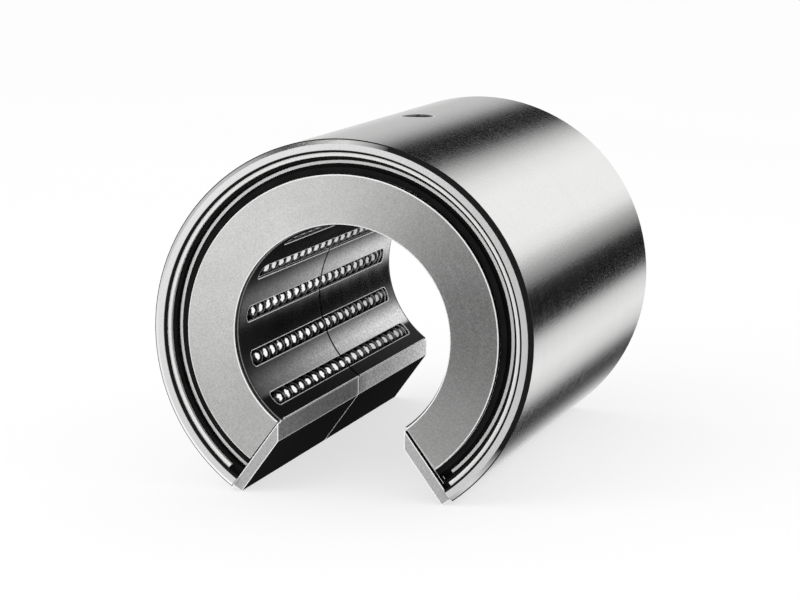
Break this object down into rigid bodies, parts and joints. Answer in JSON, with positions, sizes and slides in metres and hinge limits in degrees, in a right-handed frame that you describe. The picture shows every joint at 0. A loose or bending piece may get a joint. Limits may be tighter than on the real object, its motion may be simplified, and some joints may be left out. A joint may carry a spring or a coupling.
{
  "type": "open linear ball bushing",
  "caption": "Open linear ball bushing: steel sleeve, ball circuits that return radially, split end washers, seals and snap rings, for a shaft held on a rail.",
  "frame": {"origin": "on the shaft axis, half way between the sleeve's two end faces", "axes": "+Y along the shaft axis, from the front end to the rear end; +Z away from the opening, through the locating hole; the opening faces -Z"},
  "size_m": [0.09, 0.125, 0.0824],
  "materials": {
    "sleeve_steel": "hardened steel, ground to a bright axial sheen",
    "cage_plastic": "dark grey moulded plastic with a smooth bore",
    "track_steel": "hardened bearing steel, ground tracks",
    "washer_steel": "fine blasted sheet steel with bright edges",
    "seal_rubber": "matt black nitrile rubber",
    "spring_steel": "bright drawn spring steel",
    "ball_steel": "polished bearing balls"
  },
  "bodies": {
    "bushing": {"outer_sleeve": "sleeve_steel", "front_cage_half": "cage_plastic", "rear_cage_half": "cage_plastic", "bearing_plates": "track_steel", "front_end_washer": "washer_steel", "rear_end_washer": "washer_steel", "front_seal": "seal_rubber", "rear_seal": "seal_rubber", "front_support_ring": "spring_steel", "rear_support_ring": "spring_steel", "front_snap_ring": "spring_steel", "rear_snap_ring": "spring_steel"},
    "load_row_01": {"load_balls_01": "ball_steel"},
    "return_row_01": {"return_balls_01": "ball_steel"},
    "front_turn_01": {"front_turn_balls_01": "ball_steel"},
    "rear_turn_01": {"rear_turn_balls_01": "ball_steel"},
    "load_row_02": {"load_balls_02": "ball_steel"},
    "return_row_02": {"return_balls_02": "ball_steel"},
    "front_turn_02": {"front_turn_balls_02": "ball_steel"},
    "rear_turn_02": {"rear_turn_balls_02": "ball_steel"},
    "load_row_03": {"load_balls_03": "ball_steel"},
    "return_row_03": {"return_balls_03": "ball_steel"},
    "front_turn_03": {"front_turn_balls_03": "ball_steel"},
    "rear_turn_03": {"rear_turn_balls_03": "ball_steel"},
    "load_row_04": {"load_balls_04": "ball_steel"},
    "return_row_04": {"return_balls_04": "ball_steel"},
    "front_turn_04": {"front_turn_balls_04": "ball_steel"},
    "rear_turn_04": {"rear_turn_balls_04": "ball_steel"},
    "load_row_05": {"load_balls_05": "ball_steel"},
    "return_row_05": {"return_balls_05": "ball_steel"},
    "front_turn_05": {"front_turn_balls_05": "ball_steel"},
    "rear_turn_05": {"rear_turn_balls_05": "ball_steel"},
    "load_row_06": {"load_balls_06": "ball_steel"},
    "return_row_06": {"return_balls_06": "ball_steel"},
    "front_turn_06": {"front_turn_balls_06": "ball_steel"},
    "rear_turn_06": {"rear_turn_balls_06": "ball_steel"},
    "load_row_07": {"load_balls_07": "ball_steel"},
    "return_row_07": {"return_balls_07": "ball_steel"},
    "front_turn_07": {"front_turn_balls_07": "ball_steel"},
    "rear_turn_07": {"rear_turn_balls_07": "ball_steel"},
    "load_row_08": {"load_balls_08": "ball_steel"},
    "return_row_08": {"return_balls_08": "ball_steel"},
    "front_turn_08": {"front_turn_balls_08": "ball_steel"},
    "rear_turn_08": {"rear_turn_balls_08": "ball_steel"},
    "load_row_09": {"load_balls_09": "ball_steel"},
    "return_row_09": {"return_balls_09": "ball_steel"},
    "front_turn_09": {"front_turn_balls_09": "ball_steel"},
    "rear_turn_09": {"rear_turn_balls_09": "ball_steel"},
    "load_row_10": {"load_balls_10": "ball_steel"},
    "return_row_10": {"return_balls_10": "ball_steel"},
    "front_turn_10": {"front_turn_balls_10": "ball_steel"},
    "rear_turn_10": {"rear_turn_balls_10": "ball_steel"},
    "load_row_11": {"load_balls_11": "ball_steel"},
    "return_row_11": {"return_balls_11": "ball_steel"},
    "front_turn_11": {"front_turn_balls_11": "ball_steel"},
    "rear_turn_11": {"rear_turn_balls_11": "ball_steel"},
    "load_row_12": {"load_balls_12": "ball_steel"},
    "return_row_12": {"return_balls_12": "ball_steel"},
    "front_turn_12": {"front_turn_balls_12": "ball_steel"},
    "rear_turn_12": {"rear_turn_balls_12": "ball_steel"}
  },
  "joints": [
    {"name": "load_row_01_roll", "type": "slide", "parent": "bushing", "child": "load_row_01", "axis": [0, 1, 0], "range_m": [-0.00265, 0.00265]},
    {"name": "return_row_01_roll", "type": "slide", "parent": "bushing", "child": "return_row_01", "axis": [0, 1, 0], "range_m": [-0.00265, 0.00265]},
    {"name": "front_turn_01_roll", "type": "hinge", "parent": "bushing", "child": "front_turn_01", "pos_m": [-0.0242, -0.05035, -0.02179], "axis": [-0.6691, 0, 0.7431], "range_deg": [-30.02, 30.02]},
    {"name": "rear_turn_01_roll", "type": "hinge", "parent": "bushing", "child": "rear_turn_01", "pos_m": [-0.0242, 0.05035, -0.02179], "axis": [-0.6691, 0, 0.7431], "range_deg": [-30.02, 30.02]},
    {"name": "load_row_02_roll", "type": "slide", "parent": "bushing", "child": "load_row_02", "axis": [0, 1, 0], "range_m": [-0.00265, 0.00265]},
    {"name": "return_row_02_roll", "type": "slide", "parent": "bushing", "child": "return_row_02", "axis": [0, 1, 0], "range_m": [-0.00265, 0.00265]},
    {"name": "front_turn_02_roll", "type": "hinge", "parent": "bushing", "child": "front_turn_02", "pos_m": [-0.03097, -0.05035, -0.01006], "axis": [-0.309, 0, 0.9511], "range_deg": [-30.02, 30.02]},
    {"name": "rear_turn_02_roll", "type": "hinge", "parent": "bushing", "child": "rear_turn_02", "pos_m": [-0.03097, 0.05035, -0.01006], "axis": [-0.309, 0, 0.9511], "range_deg": [-30.02, 30.02]},
    {"name": "load_row_03_roll", "type": "slide", "parent": "bushing", "child": "load_row_03", "axis": [0, 1, 0], "range_m": [-0.00265, 0.00265]},
    {"name": "return_row_03_roll", "type": "slide", "parent": "bushing", "child": "return_row_03", "axis": [0, 1, 0], "range_m": [-0.00265, 0.00265]},
    {"name": "front_turn_03_roll", "type": "hinge", "parent": "bushing", "child": "front_turn_03", "pos_m": [-0.03238, -0.05035, 0.0034], "axis": [0.1045, 0, 0.9945], "range_deg": [-30.02, 30.02]},
    {"name": "rear_turn_03_roll", "type": "hinge", "parent": "bushing", "child": "rear_turn_03", "pos_m": [-0.03238, 0.05035, 0.0034], "axis": [0.1045, 0, 0.9945], "range_deg": [-30.02, 30.02]},
    {"name": "load_row_04_roll", "type": "slide", "parent": "bushing", "child": "load_row_04", "axis": [0, 1, 0], "range_m": [-0.00265, 0.00265]},
    {"name": "return_row_04_roll", "type": "slide", "parent": "bushing", "child": "return_row_04", "axis": [0, 1, 0], "range_m": [-0.00265, 0.00265]},
    {"name": "front_turn_04_roll", "type": "hinge", "parent": "bushing", "child": "front_turn_04", "pos_m": [-0.0282, -0.05035, 0.01628], "axis": [0.5, 0, 0.866], "range_deg": [-30.02, 30.02]},
    {"name": "rear_turn_04_roll", "type": "hinge", "parent": "bushing", "child": "rear_turn_04", "pos_m": [-0.0282, 0.05035, 0.01628], "axis": [0.5, 0, 0.866], "range_deg": [-30.02, 30.02]},
    {"name": "load_row_05_roll", "type": "slide", "parent": "bushing", "child": "load_row_05", "axis": [0, 1, 0], "range_m": [-0.00265, 0.00265]},
    {"name": "return_row_05_roll", "type": "slide", "parent": "bushing", "child": "return_row_05", "axis": [0, 1, 0], "range_m": [-0.00265, 0.00265]},
    {"name": "front_turn_05_roll", "type": "hinge", "parent": "bushing", "child": "front_turn_05", "pos_m": [-0.01914, -0.05035, 0.02634], "axis": [0.809, 0, 0.5878], "range_deg": [-30.02, 30.02]},
    {"name": "rear_turn_05_roll", "type": "hinge", "parent": "bushing", "child": "rear_turn_05", "pos_m": [-0.01914, 0.05035, 0.02634], "axis": [0.809, 0, 0.5878], "range_deg": [-30.02, 30.02]},
    {"name": "load_row_06_roll", "type": "slide", "parent": "bushing", "child": "load_row_06", "axis": [0, 1, 0], "range_m": [-0.00265, 0.00265]},
    {"name": "return_row_06_roll", "type": "slide", "parent": "bushing", "child": "return_row_06", "axis": [0, 1, 0], "range_m": [-0.00265, 0.00265]},
    {"name": "front_turn_06_roll", "type": "hinge", "parent": "bushing", "child": "front_turn_06", "pos_m": [-0.00677, -0.05035, 0.03185], "axis": [0.9781, 0, 0.2079], "range_deg": [-30.02, 30.02]},
    {"name": "rear_turn_06_roll", "type": "hinge", "parent": "bushing", "child": "rear_turn_06", "pos_m": [-0.00677, 0.05035, 0.03185], "axis": [0.9781, 0, 0.2079], "range_deg": [-30.02, 30.02]},
    {"name": "load_row_07_roll", "type": "slide", "parent": "bushing", "child": "load_row_07", "axis": [0, 1, 0], "range_m": [-0.00265, 0.00265]},
    {"name": "return_row_07_roll", "type": "slide", "parent": "bushing", "child": "return_row_07", "axis": [0, 1, 0], "range_m": [-0.00265, 0.00265]},
    {"name": "front_turn_07_roll", "type": "hinge", "parent": "bushing", "child": "front_turn_07", "pos_m": [0.00677, -0.05035, 0.03185], "axis": [0.9781, 0, -0.2079], "range_deg": [-30.02, 30.02]},
    {"name": "rear_turn_07_roll", "type": "hinge", "parent": "bushing", "child": "rear_turn_07", "pos_m": [0.00677, 0.05035, 0.03185], "axis": [0.9781, 0, -0.2079], "range_deg": [-30.02, 30.02]},
    {"name": "load_row_08_roll", "type": "slide", "parent": "bushing", "child": "load_row_08", "axis": [0, 1, 0], "range_m": [-0.00265, 0.00265]},
    {"name": "return_row_08_roll", "type": "slide", "parent": "bushing", "child": "return_row_08", "axis": [0, 1, 0], "range_m": [-0.00265, 0.00265]},
    {"name": "front_turn_08_roll", "type": "hinge", "parent": "bushing", "child": "front_turn_08", "pos_m": [0.01914, -0.05035, 0.02634], "axis": [0.809, 0, -0.5878], "range_deg": [-30.02, 30.02]},
    {"name": "rear_turn_08_roll", "type": "hinge", "parent": "bushing", "child": "rear_turn_08", "pos_m": [0.01914, 0.05035, 0.02634], "axis": [0.809, 0, -0.5878], "range_deg": [-30.02, 30.02]},
    {"name": "load_row_09_roll", "type": "slide", "parent": "bushing", "child": "load_row_09", "axis": [0, 1, 0], "range_m": [-0.00265, 0.00265]},
    {"name": "return_row_09_roll", "type": "slide", "parent": "bushing", "child": "return_row_09", "axis": [0, 1, 0], "range_m": [-0.00265, 0.00265]},
    {"name": "front_turn_09_roll", "type": "hinge", "parent": "bushing", "child": "front_turn_09", "pos_m": [0.0282, -0.05035, 0.01628], "axis": [0.5, 0, -0.866], "range_deg": [-30.02, 30.02]},
    {"name": "rear_turn_09_roll", "type": "hinge", "parent": "bushing", "child": "rear_turn_09", "pos_m": [0.0282, 0.05035, 0.01628], "axis": [0.5, 0, -0.866], "range_deg": [-30.02, 30.02]},
    {"name": "load_row_10_roll", "type": "slide", "parent": "bushing", "child": "load_row_10", "axis": [0, 1, 0], "range_m": [-0.00265, 0.00265]},
    {"name": "return_row_10_roll", "type": "slide", "parent": "bushing", "child": "return_row_10", "axis": [0, 1, 0], "range_m": [-0.00265, 0.00265]},
    {"name": "front_turn_10_roll", "type": "hinge", "parent": "bushing", "child": "front_turn_10", "pos_m": [0.03238, -0.05035, 0.0034], "axis": [0.1045, 0, -0.9945], "range_deg": [-30.02, 30.02]},
    {"name": "rear_turn_10_roll", "type": "hinge", "parent": "bushing", "child": "rear_turn_10", "pos_m": [0.03238, 0.05035, 0.0034], "axis": [0.1045, 0, -0.9945], "range_deg": [-30.02, 30.02]},
    {"name": "load_row_11_roll", "type": "slide", "parent": "bushing", "child": "load_row_11", "axis": [0, 1, 0], "range_m": [-0.00265, 0.00265]},
    {"name": "return_row_11_roll", "type": "slide", "parent": "bushing", "child": "return_row_11", "axis": [0, 1, 0], "range_m": [-0.00265, 0.00265]},
    {"name": "front_turn_11_roll", "type": "hinge", "parent": "bushing", "child": "front_turn_11", "pos_m": [0.03097, -0.05035, -0.01006], "axis": [-0.309, 0, -0.9511], "range_deg": [-30.02, 30.02]},
    {"name": "rear_turn_11_roll", "type": "hinge", "parent": "bushing", "child": "rear_turn_11", "pos_m": [0.03097, 0.05035, -0.01006], "axis": [-0.309, 0, -0.9511], "range_deg": [-30.02, 30.02]},
    {"name": "load_row_12_roll", "type": "slide", "parent": "bushing", "child": "load_row_12", "axis": [0, 1, 0], "range_m": [-0.00265, 0.00265]},
    {"name": "return_row_12_roll", "type": "slide", "parent": "bushing", "child": "return_row_12", "axis": [0, 1, 0], "range_m": [-0.00265, 0.00265]},
    {"name": "front_turn_12_roll", "type": "hinge", "parent": "bushing", "child": "front_turn_12", "pos_m": [0.0242, -0.05035, -0.02179], "axis": [-0.6691, 0, -0.7431], "range_deg": [-30.02, 30.02]},
    {"name": "rear_turn_12_roll", "type": "hinge", "parent": "bushing", "child": "rear_turn_12", "pos_m": [0.0242, 0.05035, -0.02179], "axis": [-0.6691, 0, -0.7431], "range_deg": [-30.02, 30.02]}
  ],
  "couplings": [
    {"joint": "return_row_01_roll", "follows": "load_row_01_roll", "ratio": -1},
    {"joint": "front_turn_01_roll", "follows": "load_row_01_roll", "rad_per_m": 197.58},
    {"joint": "rear_turn_01_roll", "follows": "load_row_01_roll", "rad_per_m": 197.58},
    {"joint": "return_row_02_roll", "follows": "load_row_02_roll", "ratio": -1},
    {"joint": "front_turn_02_roll", "follows": "load_row_02_roll", "rad_per_m": 197.58},
    {"joint": "rear_turn_02_roll", "follows": "load_row_02_roll", "rad_per_m": 197.58},
    {"joint": "return_row_03_roll", "follows": "load_row_03_roll", "ratio": -1},
    {"joint": "front_turn_03_roll", "follows": "load_row_03_roll", "rad_per_m": 197.58},
    {"joint": "rear_turn_03_roll", "follows": "load_row_03_roll", "rad_per_m": 197.58},
    {"joint": "return_row_04_roll", "follows": "load_row_04_roll", "ratio": -1},
    {"joint": "front_turn_04_roll", "follows": "load_row_04_roll", "rad_per_m": 197.58},
    {"joint": "rear_turn_04_roll", "follows": "load_row_04_roll", "rad_per_m": 197.58},
    {"joint": "return_row_05_roll", "follows": "load_row_05_roll", "ratio": -1},
    {"joint": "front_turn_05_roll", "follows": "load_row_05_roll", "rad_per_m": 197.58},
    {"joint": "rear_turn_05_roll", "follows": "load_row_05_roll", "rad_per_m": 197.58},
    {"joint": "return_row_06_roll", "follows": "load_row_06_roll", "ratio": -1},
    {"joint": "front_turn_06_roll", "follows": "load_row_06_roll", "rad_per_m": 197.58},
    {"joint": "rear_turn_06_roll", "follows": "load_row_06_roll", "rad_per_m": 197.58},
    {"joint": "return_row_07_roll", "follows": "load_row_07_roll", "ratio": -1},
    {"joint": "front_turn_07_roll", "follows": "load_row_07_roll", "rad_per_m": 197.58},
    {"joint": "rear_turn_07_roll", "follows": "load_row_07_roll", "rad_per_m": 197.58},
    {"joint": "return_row_08_roll", "follows": "load_row_08_roll", "ratio": -1},
    {"joint": "front_turn_08_roll", "follows": "load_row_08_roll", "rad_per_m": 197.58},
    {"joint": "rear_turn_08_roll", "follows": "load_row_08_roll", "rad_per_m": 197.58},
    {"joint": "return_row_09_roll", "follows": "load_row_09_roll", "ratio": -1},
    {"joint": "front_turn_09_roll", "follows": "load_row_09_roll", "rad_per_m": 197.58},
    {"joint": "rear_turn_09_roll", "follows": "load_row_09_roll", "rad_per_m": 197.58},
    {"joint": "return_row_10_roll", "follows": "load_row_10_roll", "ratio": -1},
    {"joint": "front_turn_10_roll", "follows": "load_row_10_roll", "rad_per_m": 197.58},
    {"joint": "rear_turn_10_roll", "follows": "load_row_10_roll", "rad_per_m": 197.58},
    {"joint": "return_row_11_roll", "follows": "load_row_11_roll", "ratio": -1},
    {"joint": "front_turn_11_roll", "follows": "load_row_11_roll", "rad_per_m": 197.58},
    {"joint": "rear_turn_11_roll", "follows": "load_row_11_roll", "rad_per_m": 197.58},
    {"joint": "return_row_12_roll", "follows": "load_row_12_roll", "ratio": -1},
    {"joint": "front_turn_12_roll", "follows": "load_row_12_roll", "rad_per_m": 197.58},
    {"joint": "rear_turn_12_roll", "follows": "load_row_12_roll", "rad_per_m": 197.58}
  ]
}
